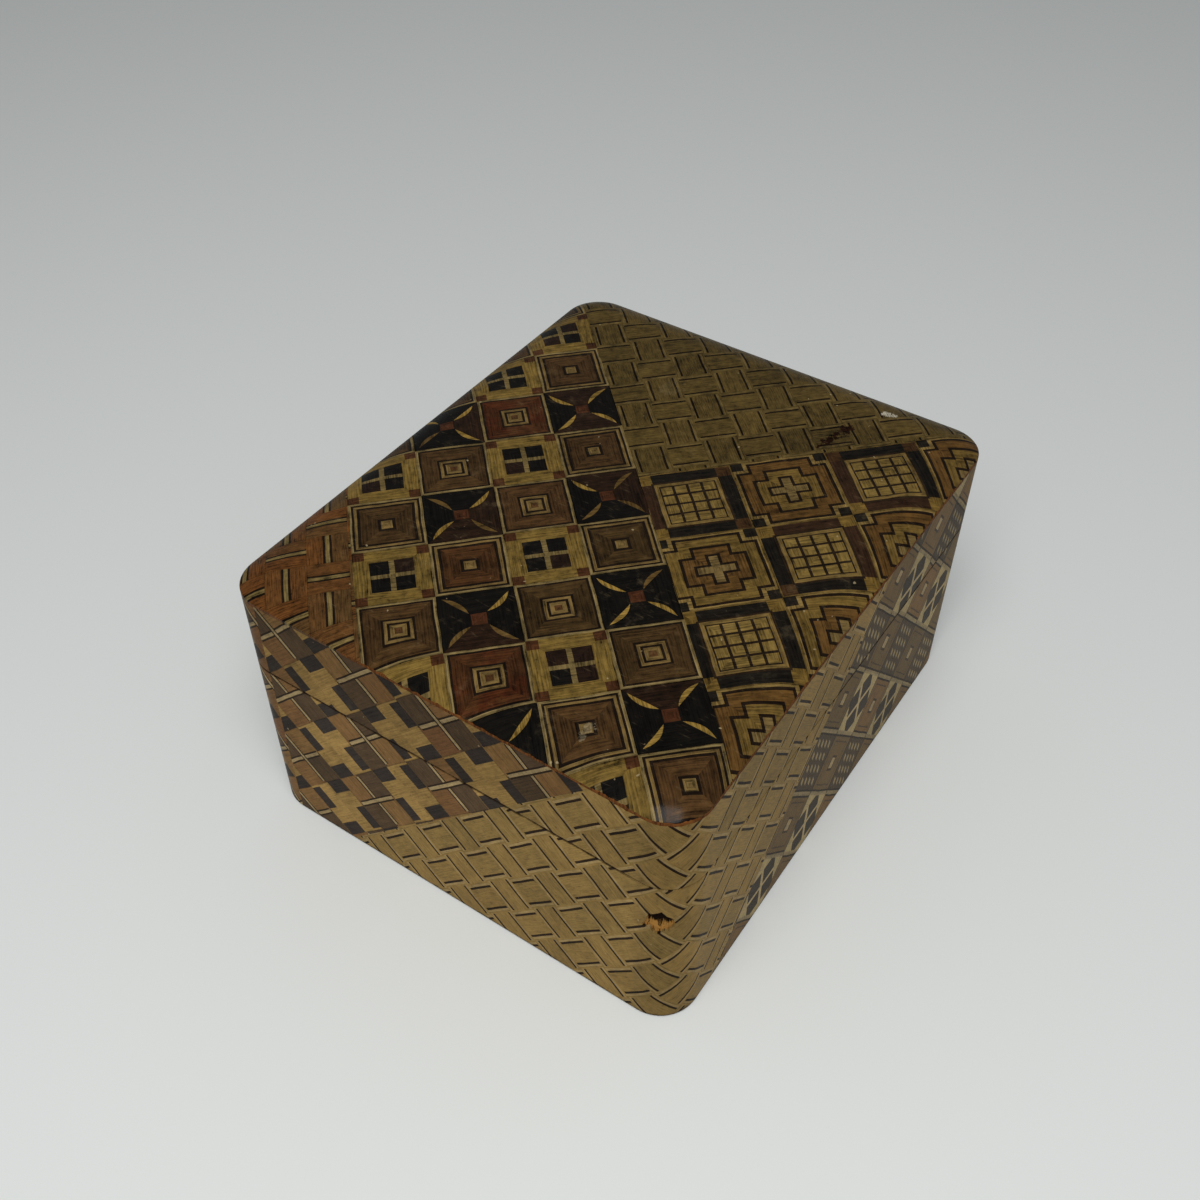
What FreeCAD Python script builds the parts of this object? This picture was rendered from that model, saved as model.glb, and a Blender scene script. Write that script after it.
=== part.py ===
import FreeCAD, Part
import os

# Wooden trick box: a mitred base, a crowned lid that slides off along -X on hidden runners,
# and a key panel in the underside whose wedges lift two bolts behind the lid's end wall.
# Millimetres. Origin at the middle of the resting face, +X along the long side, +Z up.

# Driving dimensions
box_length = 120.0          # X, over the veneer
box_width = 100.4           # Y, over the veneer
base_height = 41.85         # resting face to the base's top edge
seam_gap = 0.3              # open line between base and lid
lid_side = 18.25            # lid's bottom edge to the sharp edge round the top
crown_rise = 2.4            # flat of the top above that edge
corner_radius = 8.0         # upright corners, and the width of the top's rolled shoulder
veneer = 0.6                # marquetry skin
veneer_lift = 0.4           # veneer stops short of the table

base_wall = 7.0             # base boards
slide_clearance = 0.3       # running gap between sliding pieces
top_board_edge = 5.0        # top board at its thinnest, along the edge
floor_thickness = 4.0
floor_tongue = 2.0          # depth of the floor's seat in the walls

runner_thickness = 5.0
runner_length = 38.0
runner_end_gap = 2.4        # runner to the base's left end wall
lid_stop_gap = 2.7          # room left before the lid's end wall would meet the runners
peg_diameter = 4.0
peg_hole_gap = 0.05         # glue line round a peg
peg_inset = 4.0             # peg centre to the runner's end
peg_cover = 4.0             # peg centre to the runner's top
peg_reach = 3.6             # peg beyond the base's inner face

shaft_width = 6.4           # gap for the bolts behind the false end
false_end_thickness = 3.6
shaft_cap_thickness = 3.0
shaft_block_height = 18.0
bolt_width = 10.0
bolt_spacing = 44.0
bolt_sink = 0.2             # lowered bolt below the base's top edge

sole_thickness = 6.0
key_width = 38.1            # X, the key's opening in the sole
key_travel = 9.0            # Y
key_recess = 0.8            # key above the table
key_tongue_thickness = 1.6
key_tongue_reach = 2.0
nail_nick_radius = 1.5
nail_nick_length = 16.0
nail_nick_inset = 9.0       # from the key's free edge
wedge_slope = 0.5           # lift for each unit of key travel
wedge_toe = 0.8             # thinnest end of a wedge
ramp_lead = 0.5             # ramp beyond the bolt's foot at each end

# Planes and faces that several pieces share
half_length = box_length / 2
half_width = box_width / 2
core_x = half_length - veneer
core_y = half_width - veneer
core_radius = corner_radius - veneer
inner_x = core_x - base_wall
inner_y = core_y - base_wall
lid_inner_x = inner_x + slide_clearance
lid_inner_y = inner_y + slide_clearance
lid_bottom = base_height + seam_gap
arris_height = lid_bottom + lid_side
lid_underside = arris_height - veneer - top_board_edge
floor_bottom = sole_thickness
floor_top = floor_bottom + floor_thickness
shaft_x = inner_x - shaft_width
false_end_x = shaft_x - false_end_thickness
bolt_places = {"front": -bolt_spacing / 2, "back": bolt_spacing / 2}

nodes = {}


def box(x0, x1, y0, y1, z0, z1):
    return Part.makeBox(x1 - x0, y1 - y0, z1 - z0, FreeCAD.Vector(x0, y0, z0))


def prism(points, direction):
    corners = [FreeCAD.Vector(*point) for point in points]
    face = Part.Face(Part.makePolygon(corners + corners[:1]))
    return face.extrude(FreeCAD.Vector(*direction))


def rounded_block(half_x, half_y, radius, z0, z1):
    block = box(-half_x, half_x, -half_y, half_y, z0, z1)
    uprights = []
    for edge in block.Edges:
        start, end = edge.Vertexes[0].Point, edge.Vertexes[1].Point
        if abs(start.z - end.z) > (z1 - z0) / 2:
            uprights.append(edge)
    return block.makeFillet(radius, uprights)


def crowned_block(z0, edge_z):
    """The box's outline from z0 up to the crowned top, whose edge lies at edge_z.

    A shoulder of one arc rolls down to the edge along the sides and turns each corner
    about the corner's own centre, so the edge stays level all the way round.
    """
    top_z = edge_z + crown_rise
    arc_radius = (corner_radius ** 2 + crown_rise ** 2) / (2 * crown_rise)
    half_reach = corner_radius / 2
    half_drop = arc_radius - (arc_radius ** 2 - half_reach ** 2) ** 0.5
    centre_x = half_length - corner_radius
    centre_y = half_width - corner_radius

    def shoulder(reach_x, reach_y, x, y):
        """Upright section from a corner's centre line out to the side, as a face."""
        def at(share, z):
            return FreeCAD.Vector(x + reach_x * share, y + reach_y * share, z)
        arc = Part.Arc(at(0, top_z), at(0.5, top_z - half_drop), at(1, edge_z)).toShape()
        side = Part.makeLine(at(1, edge_z), at(1, z0))
        foot = Part.makeLine(at(1, z0), at(0, z0))
        middle = Part.makeLine(at(0, z0), at(0, top_z))
        return Part.Face(Part.Wire([arc, side, foot, middle]))

    pieces = [box(-centre_x, centre_x, -centre_y, centre_y, z0, top_z)]
    for side in (-1, 1):
        along_x = shoulder(0, side * corner_radius, -centre_x, side * centre_y)
        pieces.append(along_x.extrude(FreeCAD.Vector(2 * centre_x, 0, 0)))
        along_y = shoulder(side * corner_radius, 0, side * centre_x, -centre_y)
        pieces.append(along_y.extrude(FreeCAD.Vector(0, 2 * centre_y, 0)))
    quarter_turns = [(1, 1), (-1, 1), (-1, -1), (1, -1)]
    for turn, (sign_x, sign_y) in enumerate(quarter_turns):
        x = sign_x * centre_x
        y = sign_y * centre_y
        section = shoulder(corner_radius, 0, x, y)
        axis_point = FreeCAD.Vector(x, y, 0)
        up = FreeCAD.Vector(0, 0, 1)
        section.rotate(axis_point, up, 90 * turn)
        pieces.append(section.revolve(axis_point, up, 90))
    return pieces[0].multiFuse(pieces[1:]).removeSplitter()


def wall_boards(prefix, inner_half_x, inner_half_y, z0, z1):
    """Four boards of one height, mitred where they meet and rounded at the outside corners."""
    outline = rounded_block(core_x, core_y, core_radius, z0, z1)
    up = (0, 0, z1 - z0)
    for name, side in (("front_wall", -1), ("back_wall", 1)):
        mitred = prism([(-core_x, side * core_y, z0), (core_x, side * core_y, z0),
                        (inner_half_x, side * inner_half_y, z0),
                        (-inner_half_x, side * inner_half_y, z0)], up)
        nodes[prefix + name] = mitred.common(outline)
    for name, side in (("left_end", -1), ("right_end", 1)):
        mitred = prism([(side * core_x, -core_y, z0), (side * core_x, core_y, z0),
                        (side * inner_half_x, inner_half_y, z0),
                        (side * inner_half_x, -inner_half_y, z0)], up)
        nodes[prefix + name] = mitred.common(outline)


# Base walls, with the floor let into grooves on three sides
wall_boards("base_", inner_x, inner_y, 0.0, base_height)
floor = box(-inner_x - floor_tongue, shaft_x, -inner_y - floor_tongue, inner_y + floor_tongue,
            floor_bottom, floor_top)
for name in ("base_front_wall", "base_back_wall", "base_left_end"):
    nodes[name] = nodes[name].cut(floor)
nodes["floor_board"] = floor

# Sole and key panel: the key's tongues run in grooves in the sole's edge and the right end wall
key_x0 = inner_x - key_width + slide_clearance
key_x1 = inner_x - slide_clearance
key_y0 = -inner_y + key_travel + slide_clearance
key_y1 = inner_y - slide_clearance
key_top = floor_bottom - slide_clearance
tongue_z = (key_recess + key_top) / 2
tongue_half = key_tongue_thickness / 2
sole = box(-inner_x, inner_x - key_width, -inner_y, inner_y, 0.0, sole_thickness)
groove = box(key_x0 - key_tongue_reach - slide_clearance, key_x1 + key_tongue_reach + slide_clearance,
             -inner_y, inner_y,
             tongue_z - tongue_half - slide_clearance, tongue_z + tongue_half + slide_clearance)
nodes["sole_panel"] = sole.cut(groove)
nodes["base_right_end"] = nodes["base_right_end"].cut(groove)

key = box(key_x0, key_x1, key_y0, key_y1, key_recess, key_top)
tongues = box(key_x0 - key_tongue_reach, key_x1 + key_tongue_reach, key_y0, key_y1,
              tongue_z - tongue_half, tongue_z + tongue_half)
nick_x = (key_x0 + key_x1 - nail_nick_length) / 2
nick = Part.makeCylinder(nail_nick_radius, nail_nick_length,
                         FreeCAD.Vector(nick_x, key_y0 + nail_nick_inset, key_recess),
                         FreeCAD.Vector(1, 0, 0))
nodes["sole_key"] = key.fuse(tongues).removeSplitter().cut(nick)

# Lock shaft: false end, guide blocks and notched cap
cap_bottom = base_height - shaft_cap_thickness
block_bottom = cap_bottom - shaft_block_height
notch_half = bolt_width / 2 + slide_clearance
nodes["false_end"] = box(false_end_x, shaft_x, -inner_y, inner_y, floor_top, cap_bottom)
cap = box(false_end_x, inner_x, -inner_y, inner_y, cap_bottom, base_height)
for place in bolt_places.values():
    cap = cap.cut(box(shaft_x, inner_x, place - notch_half, place + notch_half, cap_bottom, base_height))
nodes["shaft_cap"] = cap
block_spans = {
    "front": (-inner_y, bolt_places["front"] - notch_half),
    "middle": (bolt_places["front"] + notch_half, bolt_places["back"] - notch_half),
    "back": (bolt_places["back"] + notch_half, inner_y),
}
for name, (y0, y1) in block_spans.items():
    nodes["shaft_block_" + name] = box(shaft_x, inner_x, y0, y1, block_bottom, cap_bottom)

# Wedges on the key, and the bolts whose sloping feet ride up them
ramp_x0 = shaft_x + slide_clearance
ramp_x1 = inner_x - slide_clearance
for name, place in bolt_places.items():
    foot_y0 = place - bolt_width / 2
    foot_y1 = place + bolt_width / 2
    ramp_y0 = foot_y0 - ramp_lead
    ramp_y1 = foot_y1 + key_travel + ramp_lead
    toe_z = key_top + wedge_toe
    heel_z = toe_z + wedge_slope * (ramp_y1 - ramp_y0)
    nodes[name + "_wedge"] = prism([(ramp_x0, ramp_y0, key_top), (ramp_x0, ramp_y1, key_top),
                                    (ramp_x0, ramp_y1, heel_z), (ramp_x0, ramp_y0, toe_z)],
                                   (ramp_x1 - ramp_x0, 0, 0))
    foot_z = toe_z + wedge_slope * ramp_lead + slide_clearance
    bolt_top = base_height - bolt_sink
    nodes["lock_bolt_" + name] = prism([(ramp_x0, foot_y0, foot_z),
                                        (ramp_x0, foot_y1, foot_z + wedge_slope * bolt_width),
                                        (ramp_x0, foot_y1, bolt_top), (ramp_x0, foot_y0, bolt_top)],
                                       (ramp_x1 - ramp_x0, 0, 0))

# Runners inside the long walls, with pegs that reach into the lid's grooves
wall_boards("lid_", lid_inner_x, lid_inner_y, lid_bottom, lid_underside)
peg_z = (lid_bottom + lid_underside) / 2
peg_radius = peg_diameter / 2
runner_x0 = -inner_x + runner_end_gap
runner_x1 = runner_x0 + runner_length
runner_top = peg_z + peg_cover
peg_places = (runner_x0 + peg_inset, runner_x1 - peg_inset)
lid_travel = lid_inner_x - runner_x1 - lid_stop_gap
peg_room = peg_radius + slide_clearance
pegs = []
for name, side in (("front", -1), ("back", 1)):
    outer_y = side * inner_y
    face_y = side * (inner_y - runner_thickness)
    runner = box(runner_x0, runner_x1, min(outer_y, face_y), max(outer_y, face_y), floor_top, runner_top)
    outward = FreeCAD.Vector(0, side, 0)
    for peg_x in peg_places:
        peg_foot = FreeCAD.Vector(peg_x, face_y, peg_z)
        pegs.append(Part.makeCylinder(peg_radius, runner_thickness + peg_reach, peg_foot, outward))
        runner = runner.cut(Part.makeCylinder(peg_radius + peg_hole_gap, runner_thickness, peg_foot, outward))
    nodes["runner_" + name] = runner
    groove_floor = side * (lid_inner_y + peg_reach)
    groove_mouth = side * lid_inner_y
    groove = box(peg_places[0] - peg_room, peg_places[-1] + lid_travel + peg_room,
                 min(groove_floor, groove_mouth), max(groove_floor, groove_mouth),
                 peg_z - peg_room, peg_z + peg_room)
    nodes["lid_" + name + "_wall"] = nodes["lid_" + name + "_wall"].cut(groove)
nodes["runner_pegs"] = Part.makeCompound(pegs)

# Crowned top board and the marquetry skins
skinned = crowned_block(lid_bottom, arris_height)
core = crowned_block(lid_bottom, arris_height - veneer)
lid_core = rounded_block(core_x, core_y, core_radius, lid_bottom, arris_height + crown_rise)
above_walls = rounded_block(core_x, core_y, core_radius, lid_underside, arris_height + crown_rise)
nodes["lid_top_board"] = core.common(above_walls)
nodes["lid_top_veneer"] = skinned.cut(core)
nodes["lid_side_veneer"] = core.cut(lid_core)
base_outside = rounded_block(half_length, half_width, corner_radius, veneer_lift, base_height)
base_core = rounded_block(core_x, core_y, core_radius, 0.0, base_height)
nodes["base_veneer"] = base_outside.cut(base_core)

os.makedirs("parts", exist_ok=True)
for name, shape in nodes.items():
    if len(shape.Solids) == 1:
        shape = shape.Solids[0]
    shape.exportStep("parts/" + name + ".step")
    print(name, "solids", len(shape.Solids), "valid", shape.isValid(), "volume", round(shape.Volume, 1))
print("lid travel", lid_travel, "bolt lift", key_travel * wedge_slope, "top", arris_height + crown_rise)
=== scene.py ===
import math

import bmesh
import bpy
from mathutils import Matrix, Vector


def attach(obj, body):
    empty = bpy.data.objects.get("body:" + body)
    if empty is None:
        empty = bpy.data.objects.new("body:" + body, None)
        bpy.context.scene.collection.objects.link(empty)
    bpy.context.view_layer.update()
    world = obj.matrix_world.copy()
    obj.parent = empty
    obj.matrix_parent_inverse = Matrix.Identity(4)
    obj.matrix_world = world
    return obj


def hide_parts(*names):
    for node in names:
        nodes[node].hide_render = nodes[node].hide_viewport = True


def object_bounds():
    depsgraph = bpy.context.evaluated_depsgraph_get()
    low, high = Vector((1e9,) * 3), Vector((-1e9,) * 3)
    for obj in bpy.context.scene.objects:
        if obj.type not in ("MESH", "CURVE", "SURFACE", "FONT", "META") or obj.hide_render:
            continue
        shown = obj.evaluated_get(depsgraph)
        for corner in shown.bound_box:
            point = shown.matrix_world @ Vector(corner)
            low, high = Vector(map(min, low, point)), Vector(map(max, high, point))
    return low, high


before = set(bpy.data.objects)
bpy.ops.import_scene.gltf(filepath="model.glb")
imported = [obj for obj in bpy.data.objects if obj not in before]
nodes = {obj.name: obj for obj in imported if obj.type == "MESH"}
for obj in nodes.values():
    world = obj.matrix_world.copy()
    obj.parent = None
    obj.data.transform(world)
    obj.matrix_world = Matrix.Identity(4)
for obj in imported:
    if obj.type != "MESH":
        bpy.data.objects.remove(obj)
cad_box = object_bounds()

# The boards of the base and the lid: thin pale softwood, planed and mitred at the corners,
# glued up before the marquetry skin goes on, left bare inside. The grain runs along each
# board, so the long walls and the ends need their own look.


class Shade:
    """A number, colour or vector on a surface. Sums on it add nodes to its material."""

    def __init__(self, tree, socket=None):
        self.tree = tree
        self.socket = socket

    def node(self, kind, settings, sockets, output=0):
        """Any node: its type, its settings, the values or links of its sockets."""
        made = self.tree.nodes.new(kind)
        for name, value in settings.items():
            setattr(made, name, value)
        for name, value in sockets.items():
            if isinstance(value, Shade):
                self.tree.links.new(value.socket, made.inputs[name])
            else:
                made.inputs[name].default_value = value
        return Shade(self.tree, made.outputs[output])

    def sum(self, operation, first, second=0.0):
        return self.node("ShaderNodeMath", {"operation": operation}, {0: first, 1: second})

    def __add__(self, other):
        return self.sum("ADD", self, other)

    def __sub__(self, other):
        return self.sum("SUBTRACT", self, other)

    def __mul__(self, other):
        return self.sum("MULTIPLY", self, other)

    def __truediv__(self, other):
        return self.sum("DIVIDE", self, other)

    def __radd__(self, other):
        return self.sum("ADD", other, self)

    def __rsub__(self, other):
        return self.sum("SUBTRACT", other, self)

    def __rmul__(self, other):
        return self.sum("MULTIPLY", other, self)

    def __rtruediv__(self, other):
        return self.sum("DIVIDE", other, self)

    def __lt__(self, other):
        return self.sum("LESS_THAN", self, other)

    def __gt__(self, other):
        return self.sum("GREATER_THAN", self, other)

    def __or__(self, other):
        return self.sum("MAXIMUM", self, other)

    def __and__(self, other):
        return self.sum("MINIMUM", self, other)

    def __abs__(self):
        return self.sum("ABSOLUTE", self)

    def whole(self):
        """The nearest whole number."""
        return self.sum("FLOOR", self + 0.5)

    def part(self):
        return self.sum("FRACT", self)

    def inside(self, low, high):
        """1 between low and high, 0 elsewhere."""
        return (self > low) * (self < high)

    def step(self, low, high):
        """0 below low, 1 above high, smooth between."""
        return self.node("ShaderNodeMapRange", {"interpolation_type": "SMOOTHSTEP"},
                         {"Value": self, "From Min": low, "From Max": high})

    def vector(self, x, y, z):
        return self.node("ShaderNodeCombineXYZ", {}, {0: x, 1: y, 2: z})

    def here(self):
        """The place on the piece, in metres."""
        return self.node("ShaderNodeTexCoord", {}, {}, 3)

    def axis(self, place, index):
        """One coordinate of a place."""
        return self.node("ShaderNodeSeparateXYZ", {}, {0: place}, index)

    def stretched(self, place, by):
        """A place scaled by a factor for each axis."""
        return self.node("ShaderNodeVectorMath", {"operation": "MULTIPLY"}, {0: place, 1: by})

    def noise(self, place, scale, detail=2.0, rough=0.5):
        return self.node("ShaderNodeTexNoise", {},
                         {"Vector": place, "Scale": scale, "Detail": detail, "Roughness": rough})

    def chance(self, x, y, z):
        """A fixed random number for each whole x, y, z."""
        return self.node("ShaderNodeTexWhiteNoise", {}, {"Vector": self.vector(x, y, z)})

    def paint(self, under, over, where):
        """Colour over laid on colour under where the mask is 1."""
        return self.node("ShaderNodeMix", {"data_type": "RGBA", "blend_type": "MIX"},
                         {0: where, 6: under, 7: over}, 2)

    def dim(self, colour, factor):
        """A colour made darker or lighter by a factor."""
        return self.node("ShaderNodeVectorMath", {"operation": "SCALE"},
                         {"Vector": colour, "Scale": factor})


def tone(red, green, blue):
    """A colour as read off a screen, 0 to 255, in Blender's linear values."""
    def linear(c):
        c = c / 255
        return c / 12.92 if c <= 0.04045 else ((c + 0.055) / 1.055) ** 2.4
    return (linear(red), linear(green), linear(blue), 1.0)


def new_look(name):
    """A fresh material, its shader, and a Shade to start sums from."""
    look = bpy.data.materials.new(name)
    look.use_nodes = True
    shader = look.node_tree.nodes["Principled BSDF"]
    return look, shader, Shade(look.node_tree)


def surface(look, shader, colour, roughness, height, depth):
    """Links a finish to its shader: colour, roughness and a bump of the given depth."""
    start = Shade(look.node_tree)
    bump = start.node("ShaderNodeBump", {}, {"Strength": 1.0, "Distance": depth, "Height": height})
    links = look.node_tree.links
    links.new(colour.socket, shader.inputs["Base Color"])
    links.new(roughness.socket, shader.inputs["Roughness"])
    links.new(bump.socket, shader.inputs["Normal"])


def bare_board(name, pale, dark, along, rough, seed):
    """Planed unfinished wood with the grain along axis 0, 1 or 2."""
    plane_marks = 0.00006
    rings_in_grain = 7.0
    look, shader, start = new_look(name)
    place = start.here()
    ring_stretch = [260.0, 260.0, 260.0]
    ring_stretch[along] = 9.0
    ringed = start.node("ShaderNodeVectorMath", {"operation": "MULTIPLY_ADD"},
                        {0: place, 1: ring_stretch, 2: (seed, seed, seed)})
    rings = (start.noise(ringed, 0.62, 3.0, 0.45) * rings_in_grain).part()
    rings = abs(rings - 0.5) * 2.0
    fibre_stretch = [2600.0, 2600.0, 2600.0]
    fibre_stretch[along] = 70.0
    fibres = start.noise(start.stretched(place, fibre_stretch), 0.8, 3.0, 0.6)
    soil = start.noise(place, 45.0, 4.0, 0.6).step(0.45, 0.75)
    shade = rings * 0.45 + fibres.step(0.35, 0.7) * 0.35 + soil * 0.25
    colour = start.paint(pale, dark, shade)
    surface(look, shader, colour, rough + fibres * 0.18, fibres + rings * 0.3, plane_marks)
    shader.inputs["Specular IOR Level"].default_value = 0.35
    return look


def finish(look, *names):
    """Gives CAD pieces their look."""
    for name in names:
        nodes[name].data.materials.clear()
        nodes[name].data.materials.append(look)


board_pale = tone(197, 160, 108)
board_dark = tone(150, 108, 62)
board_rough = 0.56
board_along_x = bare_board("board_along_x", board_pale, board_dark,
                           along=0, rough=board_rough, seed=1.7)
board_along_y = bare_board("board_along_y", board_pale, board_dark,
                           along=1, rough=board_rough, seed=5.2)
finish(board_along_x, "base_front_wall", "base_back_wall", "floor_board",
       "lid_front_wall", "lid_back_wall", "lid_top_board")
finish(board_along_y, "base_left_end", "base_right_end", "false_end",
       "lid_left_end", "lid_right_end")

# The works in the double end: cap and guide blocks of the same pale wood round the two lock
# bolts, and the bolts themselves of close-grained hardwood, waxed so that they slide.
board_upright = bare_board("board_upright", tone(186, 146, 96), tone(140, 98, 56),
                           along=2, rough=0.55, seed=3.1)
finish(board_upright, "shaft_block_front", "shaft_block_middle", "shaft_block_back")
finish(board_along_y, "shaft_cap")
hard_pale = tone(150, 98, 58)
hard_dark = tone(98, 58, 32)
wax_rough = 0.4
hardwood_upright = bare_board("hardwood_upright", hard_pale, hard_dark,
                              along=2, rough=wax_rough, seed=7.4)
finish(hardwood_upright, "lock_bolt_front", "lock_bolt_back")

# The runners, strips glued inside the long walls, guide the lid. The turned pegs through them
# ride in the grooves of the lid's walls and stop it at the end of its travel. Both are
# hardwood, rubbed with wax.
hardwood_along_x = bare_board("hardwood_along_x", hard_pale, hard_dark,
                              along=0, rough=wax_rough, seed=2.6)
hardwood_along_y = bare_board("hardwood_along_y", hard_pale, hard_dark,
                              along=1, rough=0.38, seed=4.8)
finish(hardwood_along_x, "runner_front", "runner_back")
finish(hardwood_along_y, "runner_pegs")

# The sole that the box stands on, and the hidden key that slides in it with its two wedges.
# Sole and key are plain brown wood, worn smooth by the table and the fingers; the wedges on
# the key are waxed hardwood.
sole_along_x = bare_board("sole_along_x", tone(150, 112, 70), tone(96, 66, 38),
                          along=0, rough=0.46, seed=6.3)
sole_along_y = bare_board("sole_along_y", tone(158, 118, 74), tone(104, 72, 42),
                          along=1, rough=0.44, seed=8.9)
finish(sole_along_x, "sole_panel")
finish(sole_along_y, "sole_key")
finish(hardwood_along_y, "front_wedge", "back_wedge")

# The base's marquetry skin: shaved sheets of patterned block, bent round the corners and
# glued to the boards, so the pattern runs on round the box in slanting fields of basket,
# weave and lattice. A piece is chipped out at the front corner and shows the board.
half_length, half_width, box_height = (round(size, 5) for size in cad_box[1])
corner = 0.008
corner_steps = 12
skin = 0.0006
skin_edge_round = 0.00012
side_gloss = 0.0
side_figure = 0.45
dull_ior = 1.06
# Tone of the dark line at the bands' seam (painted shade of the gap, with dirt in it) and of their
# darker foot.
shade_and_dirt_tone = tone(30, 20, 12)


def band_tree():
    """A strip of veneer swept round the box's outline, from named sizes."""
    tree = bpy.data.node_groups.new("veneer_band", "GeometryNodeTree")
    face = tree.interface
    wanted = (("Length", "NodeSocketFloat"), ("Width", "NodeSocketFloat"),
              ("Corner Radius", "NodeSocketFloat"), ("Corner Steps", "NodeSocketInt"),
              ("Height", "NodeSocketFloat"), ("Middle Height", "NodeSocketFloat"),
              ("Thickness", "NodeSocketFloat"), ("Edge Round", "NodeSocketFloat"),
              ("Finish", "NodeSocketMaterial"))
    for name, kind in wanted:
        face.new_socket(name, in_out="INPUT", socket_type=kind)
    face.new_socket("Geometry", in_out="OUTPUT", socket_type="NodeSocketGeometry")
    start = tree.nodes.new("NodeGroupInput")
    given = start.outputs
    link = tree.links.new

    def put(kind, mode=None, **sockets):
        made = tree.nodes.new(kind)
        if mode:
            made.mode = mode
        for name, source in sockets.items():
            link(source, made.inputs[name.replace("_", " ")])
        return made

    outline = put("GeometryNodeCurvePrimitiveQuadrilateral", Width=given["Length"],
                  Height=given["Width"])
    rounded = put("GeometryNodeFilletCurve", "POLY", Curve=outline.outputs[0],
                  Radius=given["Corner Radius"], Count=given["Corner Steps"])
    section = put("GeometryNodeCurvePrimitiveQuadrilateral", Width=given["Thickness"],
                  Height=given["Height"])
    eased = put("GeometryNodeFilletCurve", "POLY", Curve=section.outputs[0],
                Radius=given["Edge Round"])
    eased.inputs["Count"].default_value = 2
    half = tree.nodes.new("ShaderNodeMath")
    half.operation = "MULTIPLY"
    half.inputs[1].default_value = -0.5
    link(given["Thickness"], half.inputs[0])
    drop = tree.nodes.new("ShaderNodeMath")
    drop.operation = "MULTIPLY"
    drop.inputs[1].default_value = -1.0
    link(given["Middle Height"], drop.inputs[0])
    move = put("ShaderNodeCombineXYZ", X=half.outputs[0], Y=drop.outputs[0])
    set_in = put("GeometryNodeTransform", Geometry=eased.outputs[0], Translation=move.outputs[0])
    swept = put("GeometryNodeCurveToMesh", Curve=rounded.outputs[0],
                Profile_Curve=set_in.outputs[0])
    real = put("GeometryNodeRealizeInstances", Geometry=swept.outputs[0])
    dressed = put("GeometryNodeSetMaterial", Geometry=real.outputs[0], Material=given["Finish"])
    end = tree.nodes.new("NodeGroupOutput")
    link(dressed.outputs[0], end.inputs[0])
    return tree


band_maker = band_tree()


def swept_band(name, bottom, top, look):
    """A veneer band as a plain mesh object."""
    seed = bpy.data.objects.new(name + "_path", bpy.data.meshes.new(name + "_path"))
    bpy.context.scene.collection.objects.link(seed)
    maker = seed.modifiers.new("band", "NODES")
    maker.node_group = band_maker
    sizes = {"Length": 2 * half_length, "Width": 2 * half_width, "Corner Radius": corner,
             "Corner Steps": corner_steps, "Height": top - bottom,
             "Middle Height": (top + bottom) / 2, "Thickness": skin,
             "Edge Round": skin_edge_round, "Finish": look}
    for item in band_maker.interface.items_tree:
        if item.in_out == "INPUT":
            maker[item.identifier] = sizes[item.name]
    ready = seed.evaluated_get(bpy.context.evaluated_depsgraph_get())
    mesh = bpy.data.meshes.new_from_object(ready)
    seed.modifiers.remove(maker)
    bpy.data.objects.remove(seed)
    mesh.name = name
    made = bpy.data.objects.new(name, mesh)
    bpy.context.scene.collection.objects.link(made)
    return made


half_bend = corner * math.pi / 4
flat_x = 2 * (half_length - corner)
flat_y = 2 * (half_width - corner)
round_trip = 2 * flat_x + 2 * flat_y + 8 * half_bend


def run_at(point):
    """Distance round the outline from the middle of the front corner, + along the -Y face."""
    x, y = point[0], point[1]
    out_x = abs(x) - (half_length - corner)
    out_y = abs(y) - (half_width - corner)
    turn = math.atan2(max(out_y, 0), max(out_x, 0)) * corner
    if x < 0 and y < 0:
        if out_x > 0 and out_y > 0:
            return turn - half_bend
        if out_y > out_x:
            return half_bend + x + half_length - corner
        return -half_bend - (y + half_width - corner)
    if y < 0:
        if out_x > 0 and out_y > 0:
            return half_bend + flat_x + 2 * half_bend - turn
        if out_y > out_x:
            return half_bend + x + half_length - corner
        return 3 * half_bend + flat_x + y + half_width - corner
    if x > 0:
        if out_x > 0 and out_y > 0:
            return 3 * half_bend + flat_x + flat_y + turn
        if out_y > out_x:
            return 5 * half_bend + flat_x + flat_y + half_length - corner - x
        return 3 * half_bend + flat_x + y + half_width - corner
    if out_x > 0 and out_y > 0:
        return 7 * half_bend + 2 * flat_x + flat_y - turn
    if out_y > out_x:
        return 5 * half_bend + flat_x + flat_y + half_length - corner - x
    return -half_bend - (y + half_width - corner)


# Where the fields' slanting edges meet the table, as distances round the box, and which of
# the three patterns lies between them.
field_edges = (-0.0765, 0.0123, 0.135, 0.232)
field_order = (0, 1, 2, 1, 0)


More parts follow.
